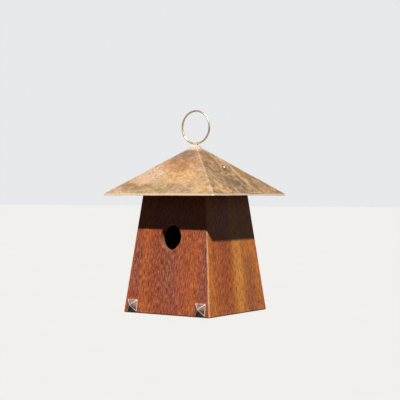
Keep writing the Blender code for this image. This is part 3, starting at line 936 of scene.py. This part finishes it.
def shaded_copper():
    """The underside of the sheet, browner and even."""
    finish = Finish("shaded_copper", Metallic=0.6)
    cloud = finish.cloud(45, 4, 0.6, 0.7)
    spots = finish.cloud(300, 3, 0.6)
    colour = finish.mix(finish.step(cloud, 0.3, 0.7), (0.20, 0.105, 0.060), (0.34, 0.19, 0.11))
    colour = finish.mix(finish.step(spots, 0.55, 0.75) * 0.5, colour, (0.10, 0.055, 0.035))
    finish.show("Base Color", colour)
    finish.show("Roughness", 0.48 + spots * 0.25)
    finish.raise_by(spots, 0.0002, 0.3)
    return finish


print(len(STAINS), "stains on the roof")

# %% The roof sheet
HIP_FOLD = 0.0020  # how far from a hip its fold begins
GRID_CUTS = 31
LAP_LINES = (-0.05, 0.245)  # the lap's edges, as distance to the back per distance outwards
LAP_INSET = 0.0006
SWELL = 0.0011  # how far the slopes dip at most
SWELL_SPAN = 0.045
EDGE_ROUND = 0.00015


def long_edges(bm):
    """The edges to cut into a grid: all but the short ones of the folds and the lip."""
    return [edge for edge in bm.edges if edge.calc_length() > 1.5 * LIP_DROP]


def roof_skin():
    """The outer skin of the sheet, in a fine grid, with the lap as a second layer."""
    fold = (roof_half, eave)
    bm = squared([(TIP_HALF, apex - slope * TIP_HALF), fold, (roof_half, roof_low.z)])
    ease(bm, HIP_FOLD, 4, 45)
    bmesh.ops.subdivide_edges(bm, edges=long_edges(bm), cuts=GRID_CUTS, use_grid_fill=True)
    near = TIP_HALF + LAP_INSET
    far = roof_half - LAP_INSET
    first, last = LAP_LINES
    corners = [(near, first), (far, first), (far, last), (near, last)]
    points = [slope_point("right", lean * reach, reach, SHEET) for reach, lean in corners]
    lap = bm.faces.new([bm.verts.new(point) for point in points])
    bmesh.ops.subdivide_edges(bm, edges=lap.edges[:], cuts=GRID_CUTS, use_grid_fill=True)
    bmesh.ops.recalc_face_normals(bm, faces=bm.faces)
    return bm


def add_roof():
    """The roof, with its swell and its gauge from modifiers."""
    finishes = [weathered_copper(), shaded_copper()]
    roof = add_piece(
        "roof_sheet", roof_skin(), finishes, "house", ["copper_roof"]
    )
    ruffle(roof, "swell", SWELL_SPAN, SWELL, 1.0, "Z")
    modify(roof, "gauge", "SOLIDIFY", thickness=SHEET, offset=-1, material_offset=1)
    corners = {"limit_method": "ANGLE", "angle_limit": math.radians(60)}
    modify(roof, "edges", "BEVEL", width=EDGE_ROUND, segments=2, **corners)
    modify(roof, "flat_faces", "WEIGHTED_NORMAL", keep_sharp=True)


add_roof()

# %% [markdown]
# ## Metals
#
# The fittings are small, and each is a plain metal that has been outdoors: pale brass on the ring,
# brass on its strap painted paler still as a highlight, darker brass on the screws and the turn
# button, pale solder lightened further with painted highlight, brown bronze on the square nails and
# steel on the hidden ones. One function makes them all from two colours, one clean and one
# tarnished, and a noise decides how the tarnish lies. The square nails also have ridges painted
# bright, partly as wear and partly as a highlight, from a number painted on the mesh, and their
# lower facets are darkened with painted shade.


# %% Metal shader
HEAD_RISE = 0.0115  # from the bottom edge up to the middle of a square nail's head
# painted shade on the lower facets of a square nail's head
UNDERSIDE_SHADE = (0.030, 0.017, 0.013)
FALL_OFF = 60  # how fast the painted shade thins out upwards, for each metre


def metal(name, clean, tarnish, cover, roughness, pace=160, worn_and_highlit=None, metallic=1.0, mirror=0.5):
    """A metal from its clean and tarnished colours, with so much of it covered."""
    finish = Finish(name, Metallic=metallic, Specular_IOR_Level=mirror)
    cloud = finish.cloud(pace, 5, 0.65, 0.6)
    grit = finish.cloud(pace * 7, 3, 0.6, 0, 3)
    dirty = finish.step(cloud + (grit - 0.5) * 0.4, 0.75 - cover * 0.5, 0.95 - cover * 0.5)
    colour = finish.mix(dirty, clean, tarnish)
    rough = roughness + dirty * 0.25 + grit * 0.10
    if worn_and_highlit:
        # Painted shade: the head darkens below its middle.
        low_shade = finish.step(cloud - (finish.z - HEAD_RISE) * FALL_OFF, 0.30, 0.75)
        colour = finish.mix(low_shade * 0.75, colour, UNDERSIDE_SHADE)
        # Ridges painted bright, partly as wear and partly as a highlight.
        ridge = finish.node("ShaderNodeAttribute", {"attribute_name": "worn_and_highlit"}, output="Fac")
        shine = finish.step(ridge + (grit - 0.5) * 0.4, 0.55, 0.95)
        colour = finish.mix(shine, colour, worn_and_highlit)
        rough = rough - shine * 0.20
    finish.show("Base Color", colour)
    finish.show("Roughness", rough)
    finish.raise_by(cloud * 0.4 + grit * 0.5, 0.00012, 0.5)
    return finish


RING_BRASS = metal("ring_brass", (0.72, 0.62, 0.42), (0.38, 0.29, 0.17), 0.50, 0.36, 45)
SCREW_BRASS = metal("screw_brass", (0.66, 0.46, 0.26), (0.22, 0.13, 0.07), 0.55, 0.26)
ROOF_BRASS = metal("roof_screw_brass", (0.70, 0.50, 0.36), (0.14, 0.080, 0.050), 0.40, 0.22, 300)
STEEL = metal("nail_steel", (0.52, 0.50, 0.48), (0.20, 0.12, 0.08), 0.50, 0.36)
# The strap is painted paler than brass as a highlight, and the solder, pale of itself, is lightened
# further with painted highlight.
PALE_HIGHLIT = {"pace": 120, "metallic": 0.6}
STRAP_BRASS_HIGHLIT = metal("strap_brass_highlit", (0.93, 0.87, 0.72), (0.72, 0.62, 0.45), 0.35, 0.34, **PALE_HIGHLIT)
DULL = {"pace": 120, "metallic": 0.3}
SOLDER_HIGHLIT = metal("dull_solder", (0.92, 0.84, 0.74), (0.76, 0.64, 0.52), 0.40, 0.42, **DULL)
# the bronze's ridge colour is wear with a painted highlight
DARK = {"pace": 240, "worn_and_highlit": (0.82, 0.66, 0.60), "metallic": 0.1, "mirror": 0.25}
BRONZE = metal("aged_bronze", (0.34, 0.215, 0.175), (0.11, 0.060, 0.042), 0.55, 0.46, **DARK)
print("metals ready")

# %% [markdown]
# ## Hanging ring, strap and solder
#
# The ring is brass wire bent round and brazed shut. A torus would do for the wire, but spinning a
# small circle lets the brazed joint be swollen section by section. A strap loops under the ring
# and goes down through the tip, and a pool of solder seals the hole round it.

# %% Hanging ring
RING_STEPS = 144
WIRE_SIDES = 20
BRAZE_ANGLE = math.radians(205)
BRAZE_REACH = math.radians(5)
BRAZE_SWELL = 0.16


def ring_shape():
    """The wire ring, upright on its foot, with a slight swelling where it is brazed."""
    bm = bmesh.new()
    upright = Matrix.Rotation(QUARTER, 4, "X")
    section = Matrix.Translation((ring_radius, 0, 0)) @ upright
    bmesh.ops.create_circle(bm, segments=WIRE_SIDES, radius=wire, matrix=section)
    spin_round(bm, bm.verts[:] + bm.edges[:], RING_STEPS)
    for number in range(RING_STEPS):
        angle = math.tau * number / RING_STEPS
        swell = BRAZE_SWELL * math.exp(-(((angle - BRAZE_ANGLE) / BRAZE_REACH) ** 2))
        if swell < 0.01:
            continue
        middle = Vector((ring_radius * math.cos(angle), ring_radius * math.sin(angle), 0))
        near = [v for v in bm.verts if (v.co - middle).length < wire * 1.01]
        grow = (1 + swell,) * 3
        bmesh.ops.scale(bm, vec=grow, space=Matrix.Translation(-middle), verts=near)
    stand = Matrix.Translation(ring_foot + UP * ring_radius) @ upright
    return placed(bm, stand)


add_piece("ring", ring_shape(), [RING_BRASS], "ring", ["hanging_ring"])

# %% Strap
STRAP = 0.0008
STRAP_WIDTH = 0.0064
EYE_PLAY = 0.0005
LEG = 0.00015
STAND = Matrix(((0, 0, 1, 0), (1, 0, 0, 0), (0, 1, 0, 0), (0, 0, 0, 1)))  # X to Y, Y to Z


def strap_shape():
    """The strap: an eye round the wire, two legs, and a flap at the end of each."""
    low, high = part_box("ring_strap")
    bend = low.z - ring_foot.z + STRAP
    reach = high.y
    eye = wire + EYE_PLAY
    outer = QUARTER - math.asin((LEG + STRAP) / (eye + STRAP))
    inner = QUARTER - math.asin(LEG / eye)
    flap = [(reach, bend - STRAP), (reach, bend), (LEG + STRAP, bend)]
    outline = flap + arc((0, 0), eye + STRAP, -outer, math.pi + outer, 40)
    outline += [(-y, z) for y, z in reversed(flap)] + [(-LEG, bend - STRAP)]
    outline += arc((0, 0), eye, math.pi + inner, -inner, 40) + [(LEG, bend - STRAP)]
    bm = extruded(outline, STRAP_WIDTH)
    ease(bm, EDGE_ROUND, 2, 60)
    return placed(bm, Matrix.Translation(ring_foot) @ STAND)


keep_flat(add_piece("strap", strap_shape(), [STRAP_BRASS_HIGHLIT], "house", ["ring_strap"]))

# %% Solder and plate
SOLDER_SPREAD = 0.0064
SOLDER_BOTTOM = 0.0052  # below the point where the slopes would meet
SOLDER_TOP = ring_foot.z - wire - EYE_PLAY - STRAP - 0.0003
SOLDER_STEPS = 7
LUMP_SPAN = 0.0035
LUMP_HEIGHT = 0.0005


def solder_shape():
    """A pool of solder: a low four-sided mound over the tip, with a plug below it."""
    plug = TIP_HALF * 0.88
    bottom = apex - SOLDER_BOTTOM
    profile = [(0, bottom), (plug, bottom), (plug, apex - slope * plug - 0.0008)]
    profile.append((SOLDER_SPREAD, apex - slope * SOLDER_SPREAD - 0.0006))
    for number in range(SOLDER_STEPS + 1):
        half = SOLDER_SPREAD + (TIP_HALF * 0.75 - SOLDER_SPREAD) * number / SOLDER_STEPS
        skin = apex - slope * half + 0.0001
        mound = 0.0007 * math.sin(QUARTER * number / SOLDER_STEPS)
        profile.append((half, min(skin + mound, SOLDER_TOP)))
    bm = squared(profile + [(0, SOLDER_TOP)])
    ease(bm, 0.0009, 3, 40)
    rows = [edge for edge in bm.edges if edge.calc_length() > 0.003]
    bmesh.ops.subdivide_edges(bm, edges=rows, cuts=5, use_grid_fill=True)
    for _ in range(3):
        bmesh.ops.smooth_vert(bm, verts=bm.verts, factor=0.4, use_axis_x=True, use_axis_y=True)
    return bm


pool = add_piece("solder_pool", solder_shape(), [SOLDER_HIGHLIT], "house", ["apex_solder"])
ruffle(pool, "lumps", LUMP_SPAN, LUMP_HEIGHT, 0.6)
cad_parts["backing_plate"].data.materials[0] = SCREW_BRASS.material

# %% [markdown]
# ## Square nails, screws and brads
#
# Two forged nails with pyramid heads stand at the front's lower corners. Their ridges are rubbed
# bright and carry a painted highlight, which a plain pyramid can't show, so the ridges are narrow
# bevels that carry a painted number for the shader. Their lower facets carry painted shade. The
# three screws share one turned shape with a slot. The brads and the floor's two nails are set below
# the surface, under dots of filler and plugs of the wall's wood.

# %% Pyramid-headed nails
HEAD_HALF = 0.009
HEAD_HEIGHT = 0.0083
HEAD_RIM = 0.0012
HEAD_INSET = 0.0157
NAIL_SHANK = 0.00125
NAIL_LENGTH = 0.0105
NAIL_LAP = 0.0005  # how far the shank goes up into the head
NAIL_ROWS = 12


def pyramid_nail():
    """A nail with a pyramid head, whose ridges are marked for wear and a painted highlight."""
    outline = [(0, 0), (HEAD_HALF, 0), (HEAD_HALF, HEAD_RIM)]
    for number in range(1, NAIL_ROWS + 1):
        share = number / NAIL_ROWS
        outline.append((HEAD_HALF * (1 - share), HEAD_RIM + (HEAD_HEIGHT - HEAD_RIM) * share))
    head = squared(outline)
    level = [e for e in head.edges if abs(e.verts[0].co.z - e.verts[1].co.z) < 1e-6]
    level = [e for e in level if all(v.co.xy.length > 1e-6 for v in e.verts)]
    bmesh.ops.subdivide_edges(head, edges=level, cuts=5, use_grid_fill=True)
    # the ridges' number, for wear and a painted highlight
    worn_and_highlit = head.verts.layers.float.new("worn_and_highlit")
    for face in ease(head, 0.00022, 2, 30):
        for vertex in face.verts:
            vertex[worn_and_highlit] = 1.0
    bmesh.ops.dissolve_degenerate(head, dist=2e-6, edges=head.edges)
    profile = [(0, -NAIL_LENGTH), (NAIL_SHANK, 3 * NAIL_SHANK - NAIL_LENGTH)]
    profile += [(NAIL_SHANK, NAIL_LAP), (0, NAIL_LAP)]
    return joined([head, turned(profile, 16)])


def add_pyramid_nails():
    """The two square nails at the front's lower corners."""
    across = outer_half(HEAD_RISE) - HEAD_INSET
    for side, along in (("left", -across), ("right", across)):
        place = facing(wall_point("front", along, HEAD_RISE), wall_plane("front")[1])
        nail = placed(pyramid_nail(), place)
        made = add_piece(f"nail_{side}", nail, [BRONZE], "house", [f"clavo_{side}"])
        sharpen(made, 50)


add_pyramid_nails()

# %% Roof screws
SCREW_OUTSET = 0.0015
SCREW_SETBACK = 0.005
SCREW_MEASURES = (0.0036, 0.0028, 0.0014, 0.008, 0.0006)


def slotted_screw(head, height, shank, length, sink):
    """A round-headed screw with a slot. Its head goes a little below the surface it sits on."""
    dome = [(head * x, height * y) for x, y in arc((0, 0), 1, 0, QUARTER, 12)]
    profile = [(0, -length), (shank, 2 * shank - length), (shank, -sink), (head, -sink)]
    bm = turned(profile + dome[:-1] + [(0, height)], 40)
    slot = box((3 * head, head * 0.24, height * 0.9), Matrix.Translation((0, 0, height)))
    return worked(bm, slot)


def add_roof_screws():
    """A screw through each side slope, into the top edge of the wall below."""
    middle = (outer_half(apex) - WALL * LEAN / 2) / (1 - BATTER * slope)
    for side, setback, lift in (("left", -SCREW_SETBACK, 0), ("right", SCREW_SETBACK, SHEET)):
        point = slope_point(side, setback, middle + SCREW_OUTSET, lift)
        screw = slotted_screw(*SCREW_MEASURES)
        placed(screw, facing(point, roof_plane(side)[1]))
        node = f"roof_screw_{side}"
        sharpen(add_piece(f"{side}_roof_screw", screw, [ROOF_BRASS], "house", [node]))


add_roof_screws()

# %% Brads, pivot nails and what covers them
FILLER_COLOURS = [(0.36, 0.095, 0.045), (0.24, 0.07, 0.04)]
SET_LENGTH = 0.028  # from the wall's face to the point of a set nail
PIN_SHANK = 0.00125
# Each set nail is the radii of its shank and head, the lengths of its point and head, and the
# steps in its turning.
BRAD = (0.00065, 0.0010, 0.0026, 0.0011, 12)
PIN = (PIN_SHANK, 0.0020, 2 * PIN_SHANK, 0.0007, 24)
CLEAR = 0.0001  # from the top of a set nail up to what covers it


def filler():
    """Dried wood filler, a little darker than the board."""
    finish = Finish("wood_filler")
    grit = finish.cloud(900)
    finish.show("Base Color", finish.mix(grit, *FILLER_COLOURS))
    finish.show("Roughness", 0.5 + grit * 0.2)
    finish.raise_by(grit, 0.0001, 0.5)
    return finish


def add_set_nail(node, place, measures, cover):
    """A nail that is set below the surface, up to what covers it."""
    shank, head, point, thick, steps = measures
    top = cover - CLEAR
    profile = [(0, -SET_LENGTH), (shank, point - SET_LENGTH), (shank, top - thick)]
    profile += [(head, top - thick), (head, top), (0, top)]
    nail = placed(turned(profile, steps), place)
    add_piece(f"{node}_set", nail, [STEEL], "house", [node])


def add_pivot_pin(side):
    """The nail that the floor swings on, and the wooden plug over it."""
    radius, depth = PIVOT_SINK
    bottom = 0.0002 - depth
    place = pivot_place(side)
    add_set_nail(f"pivot_nail_{side}", place, PIN, bottom)
    plug = rod(radius, LEAD, bottom, 24)
    cut_off(placed(plug, place), *wall_plane(side, 0.00005))
    add_piece(f"{side}_plug", plug, [WALL_WOOD[side]], "house")


def add_brads(face, paste):
    """A face's six brads, and the filler over them."""
    plugs = []
    bottom = -FILLER_DEPTH
    plug = [(0, bottom), (FILLER_RADIUS, bottom), (FILLER_RADIUS, -0.00006), (0, -0.00012)]
    for node, place in brad_places(face).items():
        add_set_nail(node, place, BRAD, bottom)
        plugs.append(placed(turned(plug, 20), place))
    add_piece(f"{face}_filler", joined(plugs), [paste], "house")


paste = filler()
for face in ("front", "back"):
    add_brads(face, paste)
for side in ("left", "right"):
    add_pivot_pin(side)

# %% [markdown]
# ## Floor and turn button
#
# The floor board swings down on two nails for cleaning, so it is bored for them, and its back edge
# is rounded about the line that it turns on. A brass button under its front edge turns into the
# slot in the front wall and keeps it shut. Both are outlines given a thickness, with their edges
# eased.

# %% Floor board
DRAIN_RADIUS = 0.003
DRAIN_INSET = 0.022
DRAIN_FLARE = 0.0008
PLAY = 0.0003
PIVOT_BORE = PIN_SHANK + PLAY


def floor_wood():
    """Raw mahogany with its grain from side to side."""
    finish = Finish("floor_mahogany", Specular_IOR_Level=0.3)
    colour, grain = grow_wood(finish, (finish.y, finish.z, finish.x), [], RAW, (0.40, 0.17, 0.085))
    colour, open_pore, fibre, speck = add_figure(finish, colour, grain)
    finish.show("Base Color", colour)
    finish.show("Roughness", 0.58 + speck * 0.15)
    finish.raise_by(fibre * 0.5 - open_pore * 0.8, 0.00035, 0.5)
    return finish


def floor_shape():
    """The floor board, with a round back edge, four drains and the bores that it swings on."""
    low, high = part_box("floor_panel")
    middle = (low.z + high.z) / 2
    radius = (high.z - low.z) / 2
    back = arc((high.y - radius, 0), radius, -QUARTER, QUARTER, 16)
    outline = [(low.y, radius), (low.y, -radius)] + back
    bm = extruded(outline, high.x - low.x)
    ease(bm, 0.0006, 3, 60)
    placed(bm, Matrix.Translation((0, 0, middle)) @ STAND)
    flare = DRAIN_RADIUS + DRAIN_FLARE
    thick = 2 * radius
    profile = [(0, LEAD), (flare, LEAD), (flare, 0), (DRAIN_RADIUS, -DRAIN_FLARE)]
    profile += [(DRAIN_RADIUS, DRAIN_FLARE - thick), (flare, -thick)]
    profile += [(flare, -thick - LEAD), (0, -thick - LEAD)]
    reach = high.x - DRAIN_INSET
    drains = []
    for x in (-reach, reach):
        for y in (-reach, reach):
            drains.append(placed(turned(profile, 32), Matrix.Translation((x, y, high.z))))
    bore = PIVOT_BORE, 0, -SET_LENGTH - PLAY, 24
    bores = [placed(rod(*bore), pivot_place(side)) for side in ("left", "right")]
    return worked(bm, joined(drains + bores))


keep_flat(
    add_piece("floor_board", floor_shape(), [floor_wood()], "floor", ["floor_panel"])
)

# %% Turn button and its screw
BUTTON_HOLE = 0.0016
BUTTON_SCREW_HEAD = 0.0015
BUTTON_SCREW_SHANK = 0.0013


def button_shape():
    """A stadium-shaped plate with rounded edges and a hole for its screw."""
    low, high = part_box("turn_button")
    half = (high.y - low.y) / 2
    pivot = Vector((0, low.y + half, (low.z + high.z) / 2))
    tail = arc((high.x - half, 0), half, -QUARTER, QUARTER, 16)
    tip = arc((low.x + half, 0), half, QUARTER, 3 * QUARTER, 16)
    bm = extruded(tail + tip, high.z - low.z)
    ease(bm, 0.0003, 3, 60)
    hole = rod(BUTTON_HOLE, half, -half, 32)
    return placed(worked(bm, hole), Matrix.Translation(pivot))


def button_screw():
    """The screw that holds the button to the floor."""
    low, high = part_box("button_screw")
    seat = Vector(((low.x + high.x) / 2, (low.y + high.y) / 2, low.z + BUTTON_SCREW_HEAD))
    measures = (BUTTON_SCREW_HEAD, BUTTON_SCREW_SHANK, high.z - seat.z, 0.0)
    screw = slotted_screw((high.x - low.x) / 2, *measures)
    return placed(screw, facing(seat, -UP))


keep_flat(
    add_piece("button", button_shape(), [SCREW_BRASS], "button", ["turn_button"])
)
sharpen(
    add_piece("floor_screw", button_screw(), [SCREW_BRASS], "floor", ["button_screw"])
)
